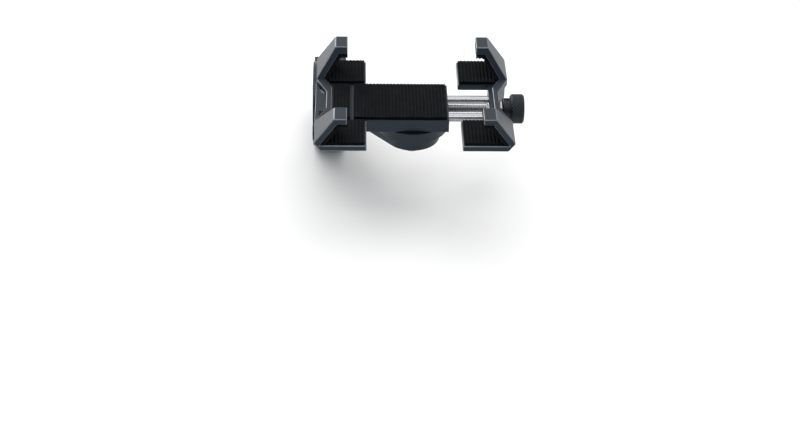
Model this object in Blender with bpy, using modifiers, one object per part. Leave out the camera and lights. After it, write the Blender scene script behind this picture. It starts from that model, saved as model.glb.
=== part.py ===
"""A bicycle phone mount: two hooked jaws on a beam, closed by a knurled screw, on a swivel bracket
with a hinged handlebar clamp. The origin is on the handlebar's axis in the middle of the clamp; +X
runs along the handlebar to the rider's right, +Y points forwards and +Z up."""

from math import acos, cos, hypot, pi, sin

import bmesh
import bpy
from mathutils import Matrix, Vector

MM = 0.001

# Fits
GAP = 0.3 * MM  # between pieces that touch
OVERCUT = 5.0 * MM  # how far a cutter runs past what it cuts
WELD = 0.001 * MM
SCREW_MERGE = 0.01 * MM
SMOOTH_ANGLE = 0.5

# How many flats a round surface has, from a small screw to the handlebar's bore
SMALL_ROUND = 16
SCREW_ROUND = 24
ROD_ROUND = 32
SHELL_ROUND = 40
KNOB_ROUND = 48
PLATE_ROUND = 64
BORE_ROUND = 96

# The phone that the holder is closed on. Its screen's middle is the holder's own origin.
GRIP_WIDTH = 71.4 * MM
PHONE_THICKNESS = 8.1 * MM

# Where the holder stands over the handlebar
HOLDER_X = 39.5 * MM
HOLDER_Y = -48.0 * MM
KNOB_OVER_CLAMP = 0.7 * MM

# Jaws: a C-shaped profile, then the cuts that leave two hooked arms and a waist
JAW_LENGTH = 72.0 * MM
HOOK_OVERHANG = 5.2 * MM
HOOK_THICKNESS = 3.0 * MM
HOOK_WIDTH = 9.8 * MM
ARM_ROOT_WIDTH = 18.1 * MM
ARM_WALL = 3.0 * MM
SHOULDER_OUT = 0.6 * MM
SLOPE_RUN = 8.2 * MM
RIM_RUN = 0.9 * MM
RIM_DROP = 1.5 * MM
RIM_OVER_FLANGE = 1.2 * MM
RIM_CHAMFER = 3.0 * MM
FLANGE_THICKNESS = 2.9 * MM
FLANGE_LENGTH = 23.7 * MM
WAIST_WALL = 2.6 * MM
WAIST_HEIGHT = 1.6 * MM
NOTCH_DEPTH = 5.1 * MM
NOTCH_FLAT = 13.8 * MM
SHELF_RIM = 1.8 * MM
SHELF_BOSS = 15.0 * MM
END_PLATE_SHOULDER = 0.7 * MM
END_PLATE_THICKNESS = 4.4 * MM
WAIST_INNER_FLAT = 22.0 * MM

# Rubber
HOOK_LINER = 1.3 * MM
ARM_LINER = 1.6 * MM
SEAT_PAD = 1.2 * MM
PAD_MARGIN = 0.8 * MM
BAR_LINER = 1.6 * MM

# Beam, guide rods and lead screw
BEAM_WIDTH = 30.0 * MM
BEAM_DEPTH = 6.4 * MM
TRAVEL_IN = 17.0 * MM
TRAVEL_OUT = 14.0 * MM
ROD_DIAMETER = 4.0 * MM
ROD_SPACING = 15.0 * MM
ROD_ENGAGEMENT = 10.5 * MM
ROD_SEAT = 3.2 * MM
SCREW_DIAMETER = 4.0 * MM
NUT_LENGTH = 8.0 * MM
NUT_WIDTH = 8.0 * MM
NUT_FLOOR = 0.7 * MM
NUT_INSET = 2.2 * MM
SCREW_RUN_OUT = 1.0 * MM
BORE_RUN_OUT = 1.0 * MM
BORE_END_WALL = 1.5 * MM
CLIP_DIAMETER = 6.6 * MM
CLIP_THICKNESS = 0.6 * MM
CLIP_ROOM = 1.6 * MM

# Knob
KNOB_DIAMETER = 14.0 * MM
KNOB_WIDTH = 6.3 * MM
KNOB_CHAMFER = 0.8 * MM
HUB_DIAMETER = 10.0 * MM
HUB_LENGTH = 3.6 * MM
THRUST_WASHER_DIAMETER = 8.0 * MM
THRUST_WASHER_THICKNESS = 1.0 * MM
GRUB_DIAMETER = 2.0 * MM

# Swivel
SWIVEL_DIAMETER = 34.0 * MM
SWIVEL_PLATE = 5.0 * MM
SWIVEL_FLOOR = 1.9 * MM
FRICTION_DISC_DIAMETER = 24.0 * MM
FRICTION_DISC = 1.0 * MM
PIVOT_DIAMETER = 5.0 * MM
PIVOT_HEAD_FLATS = 8.0 * MM
PIVOT_NUT_HEIGHT = 5.0 * MM
PIVOT_WASHER_DIAMETER = 10.0 * MM
WASHER_THICKNESS = 1.0 * MM
BOLT_END = 1.0 * MM

# Countersunk screws that hold the swivel plate and the left jaw
SMALL_SCREW_DIAMETER = 3.0 * MM
SMALL_SCREW_HEAD = 5.6 * MM
SMALL_SCREW_HEAD_DEPTH = 1.6 * MM
SWIVEL_SCREW_X = 6.5 * MM
SWIVEL_SCREW_Y = 12.4 * MM
SWIVEL_SCREW_GRIP = 5.0 * MM
JAW_SCREW_Y = 8.0 * MM
JAW_SCREW_FROM_RIM = 12.4 * MM
JAW_SCREW_BELOW_TOP = 0.4 * MM
TONGUE_FROM_RIM = 7.4 * MM

# Handlebar clamp and bracket arm
BAR_DIAMETER = 31.8 * MM
CLAMP_WALL = 3.2 * MM
CLAMP_WIDTH = 16.0 * MM
CLAMP_SPLIT = 1.6 * MM
ARM_THICKNESS = 5.0 * MM
ARM_BOSS_DIAMETER = 26.0 * MM
ARM_ROOT_FRONT = 9.0 * MM
ARM_ROOT_REAR = 15.0 * MM
HINGE_STAND_OFF = 5.0 * MM
KNUCKLE_DIAMETER = 7.6 * MM
KNUCKLE_WIDTH = 7.4 * MM
HINGE_PIN_DIAMETER = 3.0 * MM
EAR_STAND_OFF = 4.2 * MM
EAR_END = 5.5 * MM
EAR_HEIGHT = 7.7 * MM
CLAMP_BOLT_DIAMETER = 4.0 * MM
CLAMP_BOLT_HEAD = 7.0 * MM
CLAMP_BOLT_HEAD_HEIGHT = 4.0 * MM
CLAMP_BOLT_REACH = 4.7 * MM
CAP_BOLT_GAP = 0.35 * MM
CLAMP_WASHER_DIAMETER = 9.0 * MM
CLAMP_WASHER_THICKNESS = 0.8 * MM

# Heights in the holder's frame, from the screen down to the bracket arm
HOOK_BOTTOM = HOOK_LINER + GAP
HOOK_TOP = HOOK_BOTTOM + HOOK_THICKNESS
SEAT_TOP = -PHONE_THICKNESS
SEAT_BOTTOM = SEAT_TOP - SEAT_PAD
FLANGE_TOP = SEAT_BOTTOM - GAP
FLANGE_BOTTOM = FLANGE_TOP - FLANGE_THICKNESS
WAIST_TOP = FLANGE_TOP + WAIST_HEIGHT
BEAM_BOTTOM = FLANGE_TOP - BEAM_DEPTH
SCREW_Z = FLANGE_TOP - BEAM_DEPTH / 2
SWIVEL_TOP = BEAM_BOTTOM - GAP
SWIVEL_BOTTOM = SWIVEL_TOP - SWIVEL_PLATE
DISC_TOP = SWIVEL_BOTTOM - GAP
DISC_BOTTOM = DISC_TOP - FRICTION_DISC
ARM_TOP = DISC_BOTTOM - GAP
ARM_BOTTOM = ARM_TOP - ARM_THICKNESS
PIVOT_WASHER_TOP = ARM_BOTTOM - GAP
PIVOT_WASHER_BOTTOM = PIVOT_WASHER_TOP - WASHER_THICKNESS
PIVOT_NUT_TOP = PIVOT_WASHER_BOTTOM - GAP
PIVOT_NUT_BOTTOM = PIVOT_NUT_TOP - PIVOT_NUT_HEIGHT

# Distances out from the holder's middle
TIP_X = GRIP_WIDTH / 2 - HOOK_OVERHANG
SHOULDER_X = GRIP_WIDTH / 2 + SHOULDER_OUT
KNEE_X = SHOULDER_X + SLOPE_RUN
RIM_X = KNEE_X + RIM_RUN
RIM_Z = FLANGE_TOP + RIM_OVER_FLANGE
KNEE_Z = RIM_Z + RIM_DROP
FLANGE_X = RIM_X - FLANGE_LENGTH
NOTCH_X = RIM_X - NOTCH_DEPTH
WAIST_X = NOTCH_X - WAIST_WALL
END_PLATE_X = NOTCH_X - END_PLATE_THICKNESS
BEAM_RIGHT = END_PLATE_X - GAP - CLIP_THICKNESS - TRAVEL_IN - CLIP_ROOM
NUT_RIGHT = BEAM_RIGHT - NUT_INSET
NUT_LEFT = NUT_RIGHT - NUT_LENGTH
ROD_LEFT = BEAM_RIGHT - TRAVEL_OUT - ROD_ENGAGEMENT
SCREW_LEFT = NUT_LEFT - TRAVEL_OUT - SCREW_RUN_OUT
BORE_LEFT = min(ROD_LEFT, SCREW_LEFT) - TRAVEL_IN - BORE_RUN_OUT
BEAM_STEP = BORE_LEFT - BORE_END_WALL
TONGUE_X = TONGUE_FROM_RIM - RIM_X
JAW_SCREW_X = RIM_X - JAW_SCREW_FROM_RIM
SLOT_HALF = BEAM_WIDTH / 2 + 2 * GAP
THRUST_LEFT = NOTCH_X + GAP
THRUST_RIGHT = THRUST_LEFT + THRUST_WASHER_THICKNESS
HUB_LEFT = THRUST_RIGHT + GAP
HUB_RIGHT = HUB_LEFT + HUB_LENGTH
KNOB_RIGHT = HUB_RIGHT + KNOB_WIDTH

# The clamp, in the row's frame
LINER_OUTER = BAR_DIAMETER / 2 + BAR_LINER
CLAMP_INNER = LINER_OUTER + GAP
CLAMP_OUTER = CLAMP_INNER + CLAMP_WALL
HINGE_Y = -(CLAMP_OUTER + HINGE_STAND_OFF)
BOLT_Y = CLAMP_OUTER + EAR_STAND_OFF
HOLDER_Z = CLAMP_OUTER + KNOB_OVER_CLAMP + KNOB_DIAMETER / 2 - SCREW_Z

JAW_HALF = JAW_LENGTH / 2
GAP_HALF_TOP = JAW_HALF - HOOK_WIDTH
GAP_HALF_ROOT = JAW_HALF - ARM_ROOT_WIDTH

# Each plane turns an outline's own x and y, and the way it is thickened, into the frame's axes.
PLANES = {
    "XY": Matrix(((1, 0, 0), (0, 1, 0), (0, 0, 1))),
    "XZ": Matrix(((1, 0, 0), (0, 0, 1), (0, 1, 0))),
    "YZ": Matrix(((0, 0, 1), (1, 0, 0), (0, 1, 0))),
}
ALONG = {"X": "YZ", "Y": "XZ", "Z": "XY"}

# Finishes: a name, a colour, a roughness and a metallic value
ANODISED = ("anodised_aluminium", (0.030, 0.034, 0.040), 0.42, 0.9)
RUBBER = ("rubber", (0.012, 0.013, 0.014), 0.85, 0.0)
BLACK_STEEL = ("black_steel", (0.020, 0.021, 0.022), 0.38, 0.9)
BRIGHT_STEEL = ("bright_steel", (0.55, 0.56, 0.57), 0.28, 1.0)
BRASS = ("brass", (0.60, 0.42, 0.16), 0.35, 1.0)
NYLON = ("nylon", (0.05, 0.05, 0.05), 0.6, 0.0)

for old in list(bpy.data.objects):
    bpy.data.objects.remove(old, do_unlink=True)


def new_collection(name):
    collection = bpy.data.collections.new(name)
    bpy.context.scene.collection.children.link(collection)
    return collection


PARTS = new_collection("phone_mount")
HELPERS = new_collection("cutters")


def new_empty(name, location, parent=None):
    empty = bpy.data.objects.new(name, None)
    empty.empty_display_size = 10 * MM
    empty.location = location
    empty.parent = parent
    PARTS.objects.link(empty)
    return empty


def new_material(name, colour, roughness, metallic):
    material = bpy.data.materials.new(name)
    material.use_nodes = True
    shader = material.node_tree.nodes["Principled BSDF"]
    shader.inputs["Base Color"].default_value = (*colour, 1.0)
    shader.inputs["Roughness"].default_value = roughness
    shader.inputs["Metallic"].default_value = metallic
    return material


def tidy_mesh(mesh):
    """Welds a mesh's caps, points its faces outwards and shades its round sides smooth."""
    work = bmesh.new()
    work.from_mesh(mesh)
    bmesh.ops.remove_doubles(work, verts=work.verts, dist=WELD)
    bmesh.ops.recalc_face_normals(work, faces=work.faces)
    work.to_mesh(mesh)
    work.free()
    mesh.shade_smooth()
    mesh.set_sharp_from_angle(angle=SMOOTH_ANGLE)


def new_piece(name, mesh, parent, finish=None):
    """An object of the model, or a cutter or other helper where no finish is given."""
    piece = bpy.data.objects.new(name, mesh)
    piece.parent = parent
    if finish is None:
        HELPERS.objects.link(piece)
        piece.hide_render = True
        piece.display_type = "WIRE"
        return piece
    PARTS.objects.link(piece)
    mesh.materials.clear()
    mesh.materials.append(new_material(f"{name}_{finish[0]}", *finish[1:]))
    return piece


def block(name, low, high, parent, finish=None):
    """A box between two corners."""
    low, high = Vector(low), Vector(high)
    work = bmesh.new()
    scale = Matrix.Diagonal((*(high - low), 1.0))
    bmesh.ops.create_cube(work, size=1.0, matrix=Matrix.Translation((low + high) / 2) @ scale)
    mesh = bpy.data.meshes.new(name)
    work.to_mesh(mesh)
    work.free()
    tidy_mesh(mesh)
    return new_piece(name, mesh, parent, finish)


def rod(name, axis, start, end, radius, centre, parent, finish=None, sides=ROD_ROUND):
    """A round bar along an axis, from start to end, with its other two coordinates in centre."""
    turn = PLANES[ALONG[axis]].to_4x4()
    work = bmesh.new()
    bmesh.ops.create_cone(work, cap_ends=True, segments=sides, radius1=radius, radius2=radius,
                          depth=abs(end - start), matrix=Matrix.Translation((*centre, (start + end) / 2)))
    bmesh.ops.transform(work, matrix=turn, verts=work.verts)
    mesh = bpy.data.meshes.new(name)
    work.to_mesh(mesh)
    work.free()
    tidy_mesh(mesh)
    return new_piece(name, mesh, parent, finish)


def plate(name, plane, outline, low, high, parent, finish=None):
    """A flat outline thickened from low to high across its plane."""
    curve = bpy.data.curves.new(name, "CURVE")
    curve.dimensions = "2D"
    curve.fill_mode = "BOTH"
    curve.extrude = abs(high - low) / 2
    spline = curve.splines.new("POLY")
    spline.points.add(len(outline) - 1)
    for point, (x, y) in zip(spline.points, outline):
        point.co = (x, y, 0, 1)
    spline.use_cyclic_u = True
    sketch = bpy.data.objects.new(name + "_sketch", curve)
    HELPERS.objects.link(sketch)
    graph = bpy.context.evaluated_depsgraph_get()
    mesh = bpy.data.meshes.new_from_object(sketch.evaluated_get(graph))
    bpy.data.objects.remove(sketch, do_unlink=True)
    mesh.transform(Matrix.Translation((0, 0, (low + high) / 2)))
    mesh.transform(PLANES[plane].to_4x4())
    mesh.name = name
    tidy_mesh(mesh)
    return new_piece(name, mesh, parent, finish)


def turned(name, profile, parent, finish, axis="Z", centre=(0, 0, 0), steps=ROD_ROUND):
    """A turned piece: (radius, height) points down its outer side, spun round its axis."""
    mesh = bpy.data.meshes.new(name)
    closed = profile[0][0] > 0
    edges = [(i, i + 1) for i in range(len(profile) - 1)]
    if closed:
        edges.append((len(profile) - 1, 0))
    mesh.from_pydata([(radius, 0, height) for radius, height in profile], edges, [])
    piece = new_piece(name, mesh, parent, finish)
    piece.location = centre
    if axis == "X":
        piece.rotation_euler = (0, pi / 2, 0)
    screw = piece.modifiers.new("turning", "SCREW")
    screw.axis = "Z"
    screw.steps = steps
    screw.render_steps = steps
    screw.use_merge_vertices = True
    screw.merge_threshold = SCREW_MERGE
    return piece


def ring(name, inner, outer, low, high, parent, finish, axis="Z", centre=(0, 0, 0), steps=ROD_ROUND):
    """A turned washer or sleeve."""
    return turned(name, [(outer, high), (outer, low), (inner, low), (inner, high)],
                  parent, finish, axis, centre, steps)


def combine(piece, operation, *tools):
    """Joins helpers to a piece, or cuts them from it."""
    for tool in tools:
        boolean = piece.modifiers.new(tool.name, "BOOLEAN")
        boolean.operation = operation
        boolean.object = tool
        boolean.solver = "EXACT"
    return piece


def arc(centre, radius, start, end, steps):
    """Points along an arc between two angles in radians."""
    angles = [start + (end - start) * i / steps for i in range(steps + 1)]
    return [(centre[0] + radius * cos(a), centre[1] + radius * sin(a)) for a in angles]


def hexagon(flats, centre=(0, 0)):
    return arc(centre, flats / 2 / cos(pi / 6), pi / 6, 2 * pi + pi / 6 - pi / 3, 5)


def mirrored(outline, side):
    """The outline of the right jaw, or its mirror image for the left one."""
    return [(side * x, y) for x, y in outline]


# The slope of a jaw's arm, and how far level a wall across it reaches
SLOPE_DROP = HOOK_TOP - KNEE_Z
SLOPE = SLOPE_RUN / SLOPE_DROP
LEVEL = hypot(SLOPE_RUN, SLOPE_DROP) / SLOPE_DROP


def arm_x(depth, height):
    """How far out the arm is at a height, a depth in from its outer slope."""
    return SHOULDER_X + SLOPE * (HOOK_TOP - height) - depth * LEVEL


def notch_cutter(name, side, low, parent):
    outline = [(NOTCH_X, -NOTCH_FLAT / 2), (NOTCH_X, NOTCH_FLAT / 2), (RIM_X, GAP_HALF_ROOT),
               (RIM_X + OVERCUT, GAP_HALF_ROOT), (RIM_X + OVERCUT, -GAP_HALF_ROOT), (RIM_X, -GAP_HALF_ROOT)]
    return plate(name, "XY", mirrored(outline, side), low, WAIST_TOP + OVERCUT, parent)


def arm_gap_cutter(name, side, parent):
    """The space between a jaw's two arms, wider at the hooks than at the roots."""
    outline = [(-GAP_HALF_ROOT, WAIST_TOP), (GAP_HALF_ROOT, WAIST_TOP), (GAP_HALF_TOP, HOOK_TOP),
               (GAP_HALF_TOP, HOOK_TOP + OVERCUT), (-GAP_HALF_TOP, HOOK_TOP + OVERCUT),
               (-GAP_HALF_TOP, HOOK_TOP)]
    ends = sorted((side * (TIP_X - OVERCUT), side * (RIM_X + OVERCUT)))
    return plate(name, "YZ", outline, *ends, parent)


def sided_block(name, side, near, far, half_width, low, high, parent):
    """A box between two distances out from the middle, on one side."""
    near, far = sorted((side * near, side * far))
    return block(name, (near, -half_width, low), (far, half_width, high), parent)


def build_jaw(name, side, parent):
    """The profile along its whole length, with the waist's wall and every cut that both jaws share."""
    profile = [(TIP_X, HOOK_BOTTOM), (TIP_X, HOOK_TOP), (SHOULDER_X, HOOK_TOP), (KNEE_X, KNEE_Z),
               (RIM_X, RIM_Z), (RIM_X - RIM_CHAMFER, FLANGE_BOTTOM), (FLANGE_X, FLANGE_BOTTOM),
               (FLANGE_X, FLANGE_TOP), (arm_x(ARM_WALL, FLANGE_TOP), FLANGE_TOP),
               (arm_x(ARM_WALL, HOOK_BOTTOM), HOOK_BOTTOM)]
    jaw = plate(name, "XZ", mirrored(profile, side), -JAW_HALF, JAW_HALF, parent, ANODISED)
    diagonal = (RIM_X - NOTCH_X) / (GAP_HALF_ROOT - NOTCH_FLAT / 2)
    waist_end = WAIST_X + diagonal * (GAP_HALF_ROOT - WAIST_INNER_FLAT / 2)
    wall = [(WAIST_X, -WAIST_INNER_FLAT / 2), (WAIST_X, WAIST_INNER_FLAT / 2), (waist_end, GAP_HALF_ROOT),
            (RIM_X, GAP_HALF_ROOT), (RIM_X, -GAP_HALF_ROOT), (waist_end, -GAP_HALF_ROOT)]
    waist = plate(name + "_waist", "XY", mirrored(wall, side), FLANGE_BOTTOM + FLANGE_THICKNESS / 2,
                  WAIST_TOP + WAIST_HEIGHT / 2, parent)
    combine(jaw, "UNION", waist)
    return jaw


def build_left_jaw(parent):
    jaw = build_jaw("left_jaw", -1, parent)
    slot = sided_block("left_slot", -1, FLANGE_X - OVERCUT, GAP - BEAM_STEP, SLOT_HALF,
                       FLANGE_BOTTOM - OVERCUT, FLANGE_TOP + OVERCUT, parent)
    notch = notch_cutter("left_notch", -1, FLANGE_TOP, parent)
    combine(jaw, "DIFFERENCE", arm_gap_cutter("left_arm_gap", -1, parent), notch, slot)
    rim = RIM_X - SHELF_RIM
    diagonal = (GAP_HALF_ROOT - NOTCH_FLAT / 2) / (RIM_X - NOTCH_X)
    for end, direction in (("front", 1), ("rear", -1)):
        boss = direction * SHELF_BOSS / 2
        pocket_end = direction * (NOTCH_FLAT / 2 + diagonal * (rim - NOTCH_X - GAP))
        start = NOTCH_X + GAP + (SHELF_BOSS - NOTCH_FLAT) / 2 / diagonal
        pocket = plate(f"shelf_pocket_{end}", "XY", [(-start, boss), (-rim, boss), (-rim, pocket_end)],
                       FLANGE_BOTTOM - OVERCUT, FLANGE_TOP + OVERCUT, parent)
        hole = rod(f"left_jaw_hole_{end}", "Z", FLANGE_BOTTOM - OVERCUT, FLANGE_TOP + OVERCUT,
                   SMALL_SCREW_DIAMETER / 2 + GAP, (-JAW_SCREW_X, direction * JAW_SCREW_Y), parent)
        combine(jaw, "DIFFERENCE", pocket, hole)


def build_right_jaw(parent):
    jaw = build_jaw("right_jaw", 1, parent)
    end_plate = sided_block("end_plate", 1, END_PLATE_X, RIM_X, BEAM_WIDTH / 2, BEAM_BOTTOM,
                            FLANGE_TOP - END_PLATE_SHOULDER, parent)
    combine(jaw, "UNION", end_plate)
    slot = sided_block("right_slot", 1, FLANGE_X - OVERCUT, END_PLATE_X, SLOT_HALF,
                       FLANGE_BOTTOM - OVERCUT, FLANGE_TOP + OVERCUT, parent)
    notch = notch_cutter("right_notch", 1, BEAM_BOTTOM - OVERCUT, parent)
    combine(jaw, "DIFFERENCE", arm_gap_cutter("right_arm_gap", 1, parent), notch, slot)
    screw_hole = rod("screw_hole", "X", END_PLATE_X - OVERCUT, NOTCH_X + OVERCUT,
                     SCREW_DIAMETER / 2 + GAP, (0, SCREW_Z), parent)
    combine(jaw, "DIFFERENCE", screw_hole)
    for end, y in (("front", ROD_SPACING / 2), ("rear", -ROD_SPACING / 2)):
        seat = rod(f"rod_seat_{end}", "X", END_PLATE_X - OVERCUT, END_PLATE_X + ROD_SEAT + GAP,
                   ROD_DIAMETER / 2 + GAP, (y, SCREW_Z), parent)
        combine(jaw, "DIFFERENCE", seat)
        rod(f"guide_rod_{end}", "X", ROD_LEFT, END_PLATE_X + ROD_SEAT, ROD_DIAMETER / 2,
            (y, SCREW_Z), parent, BRIGHT_STEEL)


def build_liners(side_name, side, parent):
    """The rubber inside each hook and down its arm, and the pad that the phone's back lies on beside it."""
    outer = ARM_WALL + GAP
    inner = outer + ARM_LINER
    profile = [(TIP_X, 0), (TIP_X, HOOK_LINER), (arm_x(outer, HOOK_LINER), HOOK_LINER),
               (arm_x(outer, SEAT_BOTTOM), SEAT_BOTTOM), (arm_x(inner, SEAT_BOTTOM), SEAT_BOTTOM),
               (arm_x(inner, 0), 0)]
    pad_near = FLANGE_X + PAD_MARGIN
    pad_far = arm_x(inner, SEAT_TOP) - GAP
    for end, direction in (("front", 1), ("rear", -1)):
        ends = sorted((direction * GAP_HALF_ROOT, direction * JAW_HALF))
        liner = plate(f"{side_name}_{end}_arm_liner", "XZ", mirrored(profile, side), *ends, parent, RUBBER)
        combine(liner, "DIFFERENCE", arm_gap_cutter(f"{side_name}_{end}_liner_edge", side, parent))
        near, far = sorted((side * pad_near, side * pad_far))
        low, high = sorted((direction * (SLOT_HALF + PAD_MARGIN), direction * (JAW_HALF - PAD_MARGIN)))
        block(f"{side_name}_{end}_seat_pad", (near, low, SEAT_BOTTOM), (far, high, SEAT_TOP), parent, RUBBER)


def small_screw(name, x, y, bottom, top, parent, finish, extra=0.0):
    """A countersunk screw driven in from below, or with extra room the hole that it goes in."""
    head = SMALL_SCREW_HEAD / 2 + extra
    shank = SMALL_SCREW_DIAMETER / 2 + extra
    profile = [(0, top + extra), (shank, top + extra), (shank, bottom + SMALL_SCREW_HEAD_DEPTH),
               (head, bottom)]
    if extra:
        profile.append((head, bottom - OVERCUT))
    profile.append((0, profile[-1][1]))
    return turned(name, profile, parent, finish, centre=(x, y, 0), steps=SCREW_ROUND)


def build_beam(parent):
    half = BEAM_WIDTH / 2
    tongue_top = FLANGE_BOTTOM - GAP
    side_view = [(TONGUE_X, BEAM_BOTTOM), (BEAM_RIGHT, BEAM_BOTTOM), (BEAM_RIGHT, FLANGE_TOP),
                 (BEAM_STEP, FLANGE_TOP), (BEAM_STEP, tongue_top), (TONGUE_X, tongue_top)]
    beam = plate("base_beam", "XZ", side_view, -half, half, parent, ANODISED)
    nut_half = NUT_WIDTH / 2
    nut_bottom = BEAM_BOTTOM + NUT_FLOOR + GAP
    pocket = block("nut_pocket", (NUT_LEFT - GAP, -nut_half - GAP, nut_bottom - GAP),
                   (NUT_RIGHT + GAP, nut_half + GAP, FLANGE_TOP + OVERCUT), parent)
    bores = [rod(f"beam_bore_{name}", "X", BORE_LEFT, BEAM_RIGHT + OVERCUT, diameter / 2 + GAP,
                 (y, SCREW_Z), parent)
             for name, diameter, y in (("screw", SCREW_DIAMETER, 0), ("front", ROD_DIAMETER, ROD_SPACING / 2),
                                       ("rear", ROD_DIAMETER, -ROD_SPACING / 2))]
    combine(beam, "DIFFERENCE", pocket, *bores)
    nut = block("lead_nut", (NUT_LEFT, -nut_half, nut_bottom), (NUT_RIGHT, nut_half, FLANGE_TOP - GAP),
                parent, BRASS)
    thread = rod("nut_thread", "X", NUT_LEFT - OVERCUT, NUT_RIGHT + OVERCUT, SCREW_DIAMETER / 2 + GAP,
                 (0, SCREW_Z), parent)
    combine(nut, "DIFFERENCE", thread)
    block("beam_seat_pad", (BEAM_STEP + PAD_MARGIN, -half + PAD_MARGIN, SEAT_BOTTOM),
          (BEAM_RIGHT - PAD_MARGIN, half - PAD_MARGIN, SEAT_TOP), parent, RUBBER)
    block("left_middle_seat_pad", (-WAIST_X + PAD_MARGIN, -half + PAD_MARGIN, SEAT_BOTTOM),
          (BEAM_STEP - PAD_MARGIN, half - PAD_MARGIN, SEAT_TOP), parent, RUBBER)
    for end, direction in (("front", 1), ("rear", -1)):
        y = direction * JAW_SCREW_Y
        top = FLANGE_TOP - JAW_SCREW_BELOW_TOP
        small_screw(f"left_jaw_screw_{end}", -JAW_SCREW_X, y, BEAM_BOTTOM, top, parent, BLACK_STEEL)
        room = small_screw(f"left_jaw_screw_room_{end}", -JAW_SCREW_X, y, BEAM_BOTTOM, top, parent, None, GAP)
        combine(beam, "DIFFERENCE", room)
    return beam


def build_swivel(beam, parent):
    """The round plate under the beam, its screws, and the bolt that the holder turns on."""
    plate_radius = SWIVEL_DIAMETER / 2
    swivel = rod("swivel_plate", "Z", SWIVEL_BOTTOM, SWIVEL_TOP, plate_radius, (0, 0), parent,
                 ANODISED, PLATE_ROUND)
    hole_radius = PIVOT_DIAMETER / 2 + GAP
    floor = SWIVEL_BOTTOM + SWIVEL_FLOOR
    pocket = plate("head_pocket", "XY", hexagon(PIVOT_HEAD_FLATS + 2 * GAP), floor,
                   SWIVEL_TOP + OVERCUT, parent)
    hole = rod("swivel_hole", "Z", SWIVEL_BOTTOM - OVERCUT, SWIVEL_TOP, hole_radius, (0, 0), parent)
    combine(swivel, "DIFFERENCE", pocket, hole)
    for x_name, x in (("left", -SWIVEL_SCREW_X), ("right", SWIVEL_SCREW_X)):
        for y_name, y in (("front", SWIVEL_SCREW_Y), ("rear", -SWIVEL_SCREW_Y)):
            name = f"swivel_plate_screw_{y_name}_{x_name}"
            top = BEAM_BOTTOM + SWIVEL_SCREW_GRIP
            small_screw(name, x, y, SWIVEL_BOTTOM, top, parent, BLACK_STEEL)
            room = small_screw(f"{name}_room", x, y, SWIVEL_BOTTOM, top, parent, None, GAP)
            combine(swivel, "DIFFERENCE", room)
            combine(beam, "DIFFERENCE", room)
    bolt = plate("pivot_bolt", "XY", hexagon(PIVOT_HEAD_FLATS), floor + GAP, SWIVEL_TOP - GAP,
                 parent, BLACK_STEEL)
    shank = rod("pivot_shank", "Z", PIVOT_NUT_BOTTOM - BOLT_END, SWIVEL_TOP - 2 * GAP, PIVOT_DIAMETER / 2,
                (0, 0), parent)
    combine(bolt, "UNION", shank)
    ring("pivot_washer", hole_radius, PIVOT_WASHER_DIAMETER / 2, PIVOT_WASHER_BOTTOM, PIVOT_WASHER_TOP,
         parent, BRIGHT_STEEL)
    nut = plate("pivot_nut", "XY", hexagon(PIVOT_HEAD_FLATS), PIVOT_NUT_BOTTOM, PIVOT_NUT_TOP,
                parent, BRIGHT_STEEL)
    thread = rod("pivot_nut_thread", "Z", PIVOT_NUT_BOTTOM - OVERCUT, PIVOT_NUT_TOP + OVERCUT, hole_radius,
                 (0, 0), parent)
    combine(nut, "DIFFERENCE", thread)


def build_knob(parent):
    """The lead screw and everything that turns with it, along the screw's own axis."""
    radius = SCREW_DIAMETER / 2
    screw_right = KNOB_RIGHT - KNOB_CHAMFER
    rod("lead_screw", "X", SCREW_LEFT, screw_right, radius, (0, 0), parent, BRIGHT_STEEL)
    bore = radius + GAP
    knob_radius = KNOB_DIAMETER / 2
    profile = [(bore, KNOB_RIGHT), (knob_radius - KNOB_CHAMFER, KNOB_RIGHT),
               (knob_radius, KNOB_RIGHT - KNOB_CHAMFER), (knob_radius, HUB_RIGHT + KNOB_CHAMFER),
               (knob_radius - KNOB_CHAMFER, HUB_RIGHT),
               (HUB_DIAMETER / 2, HUB_RIGHT), (HUB_DIAMETER / 2, HUB_LEFT), (bore, HUB_LEFT)]
    knob = turned("thumb_knob", profile, parent, BLACK_STEEL, "X", steps=KNOB_ROUND)
    middle = (HUB_LEFT + HUB_RIGHT) / 2
    grub_radius = GRUB_DIAMETER / 2
    grub_hole = rod("grub_hole", "Z", 0, HUB_DIAMETER / 2 + OVERCUT, grub_radius + GAP / 2,
                    (middle, 0), parent)
    combine(knob, "DIFFERENCE", grub_hole)
    rod("knob_grub_screw", "Z", radius + GAP, HUB_DIAMETER / 2 - GAP, grub_radius, (middle, 0), parent,
        BLACK_STEEL, SMALL_ROUND)
    ring("thrust_washer", bore, THRUST_WASHER_DIAMETER / 2, THRUST_LEFT, THRUST_RIGHT, parent,
         BRIGHT_STEEL, "X")
    ring("retaining_clip", bore, CLIP_DIAMETER / 2, END_PLATE_X - GAP - CLIP_THICKNESS, END_PLATE_X - GAP,
         parent, BRIGHT_STEEL, "X")


def half_disc(centre_y, radius, side):
    """The upper or lower half of a disc round the handlebar, stopping short of the clamp's split."""
    start = side * CLAMP_SPLIT / 2 / radius
    end = side * pi - start
    return arc((centre_y, 0), radius, start, end, SHELL_ROUND)


def build_clamp_half(name, side, centre_y, parent):
    """A half of the clamp with its bolt ear, before its hinge knuckles and holes."""
    half_width = CLAMP_WIDTH / 2
    shell = plate(name, "YZ", half_disc(centre_y, CLAMP_OUTER, side), -half_width, half_width,
                  parent, ANODISED)
    low, high = sorted((side * CLAMP_SPLIT / 2, side * (CLAMP_SPLIT / 2 + EAR_HEIGHT)))
    ear = block(f"{name}_ear", (-half_width, centre_y + CLAMP_INNER, low),
                (half_width, centre_y + BOLT_Y + EAR_END, high), parent)
    combine(shell, "UNION", ear)
    return shell


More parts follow.
